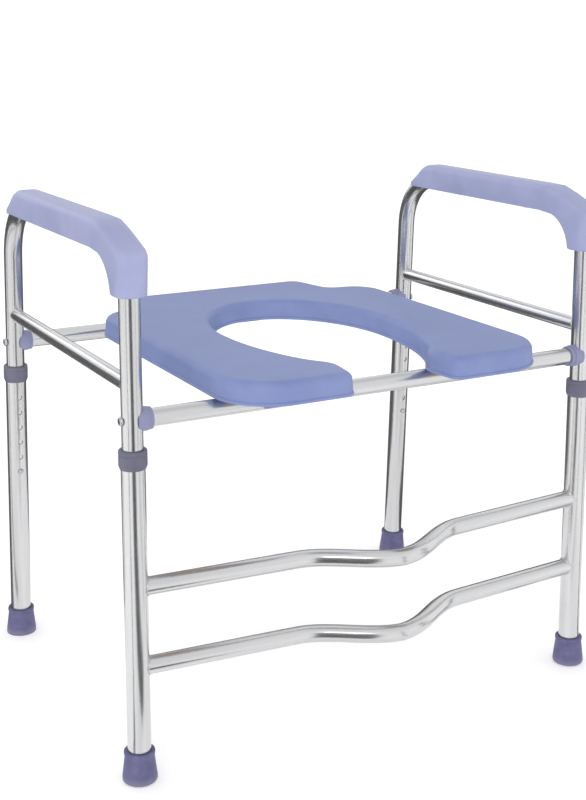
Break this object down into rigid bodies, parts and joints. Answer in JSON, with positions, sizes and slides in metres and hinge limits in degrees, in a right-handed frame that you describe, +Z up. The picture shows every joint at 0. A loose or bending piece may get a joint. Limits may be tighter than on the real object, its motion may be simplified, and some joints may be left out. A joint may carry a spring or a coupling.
{
  "type": "raised toilet seat",
  "caption": "Raised toilet seat frame with armrests: tube frame on telescopic legs with rubber feet, U-shaped padded seat that lifts up, bowed front guard bars.",
  "frame": {"origin": "on the floor under the middle of the whole object's box", "axes": "+Z up, +X towards the right when seen from the front, -Y towards the front, where the guard bars bow out"},
  "size_m": [0.607, 0.4945, 0.588],
  "materials": {
    "stainless": "bright satin stainless tube",
    "armrest_plastic": "soft satin lavender moulding",
    "cap_plastic": "satin lavender moulding",
    "collar_plastic": "satin grey-purple moulding",
    "foot_rubber": "matt grey-purple rubber",
    "seat_skin": "smooth satin skin on moulded foam, periwinkle blue",
    "base_board": "sealed plywood board",
    "hardware": "zinc-plated or stainless small parts"
  },
  "bodies": {
    "frame": {"left_side_frame": "stainless", "right_side_frame": "stainless", "left_side_rail": "stainless", "right_side_rail": "stainless", "left_armrest": "armrest_plastic", "right_armrest": "armrest_plastic", "armrest_screws": "hardware", "front_crossbar": "stainless", "rear_crossbar": "stainless", "front_left_saddle": "cap_plastic", "front_right_saddle": "cap_plastic", "rear_left_saddle": "cap_plastic", "rear_right_saddle": "cap_plastic", "crossbar_bolts": "hardware", "crossbar_inserts": "hardware", "front_left_spring": "hardware", "front_right_spring": "hardware", "rear_left_spring": "hardware", "rear_right_spring": "hardware"},
    "seat": {"seat_pad": "seat_skin", "seat_base": "base_board", "rear_left_clip": "cap_plastic", "rear_right_clip": "cap_plastic", "front_left_rest": "cap_plastic", "front_right_rest": "cap_plastic", "seat_screws": "hardware"},
    "front_legs": {"front_left_leg": "stainless", "front_right_leg": "stainless", "front_left_collar": "collar_plastic", "front_right_collar": "collar_plastic", "upper_guard_bar": "stainless", "lower_guard_bar": "stainless", "front_left_foot": "foot_rubber", "front_right_foot": "foot_rubber", "front_foot_washers": "hardware"},
    "rear_left_leg": {"rear_left_leg": "stainless", "rear_left_collar": "collar_plastic", "rear_left_foot": "foot_rubber", "rear_left_foot_washer": "hardware"},
    "rear_right_leg": {"rear_right_leg": "stainless", "rear_right_collar": "collar_plastic", "rear_right_foot": "foot_rubber", "rear_right_foot_washer": "hardware"},
    "front_left_button": {"front_left_button": "hardware"},
    "front_right_button": {"front_right_button": "hardware"},
    "rear_left_button": {"rear_left_button": "hardware"},
    "rear_right_button": {"rear_right_button": "hardware"}
  },
  "joints": [
    {"name": "seat_lift", "type": "hinge", "parent": "frame", "child": "seat", "pos_m": [0, 0.20825, 0.391], "axis": [-1, 0, 0], "range_deg": [0, 95]},
    {"name": "front_leg_height", "type": "slide", "parent": "frame", "child": "front_legs", "axis": [0, 0, -1], "range_m": [0, 0.0975], "deforming": ["front_left_button", "front_right_button"]},
    {"name": "rear_left_leg_height", "type": "slide", "parent": "frame", "child": "rear_left_leg", "axis": [0, 0.0523, -0.9986], "range_m": [0, 0.0975], "deforming": ["rear_left_button"]},
    {"name": "rear_right_leg_height", "type": "slide", "parent": "frame", "child": "rear_right_leg", "axis": [0, 0.0523, -0.9986], "range_m": [0, 0.0975], "deforming": ["rear_right_button"]},
    {"name": "front_left_button_press", "type": "slide", "parent": "frame", "child": "front_left_button", "axis": [0, -1, 0], "range_m": [0, 0.0052], "stiffness_N_per_m": 600, "springref_m": -0.002, "deforming": ["front_left_spring"]},
    {"name": "front_right_button_press", "type": "slide", "parent": "frame", "child": "front_right_button", "axis": [0, -1, 0], "range_m": [0, 0.0052], "stiffness_N_per_m": 600, "springref_m": -0.002, "deforming": ["front_right_spring"]},
    {"name": "rear_left_button_press", "type": "slide", "parent": "frame", "child": "rear_left_button", "axis": [0, 0.9986, 0.0523], "range_m": [0, 0.0052], "stiffness_N_per_m": 600, "springref_m": -0.002, "deforming": ["rear_left_spring"]},
    {"name": "rear_right_button_press", "type": "slide", "parent": "frame", "child": "rear_right_button", "axis": [0, 0.9986, 0.0523], "range_m": [0, 0.0052], "stiffness_N_per_m": 600, "springref_m": -0.002, "deforming": ["rear_right_spring"]}
  ]
}
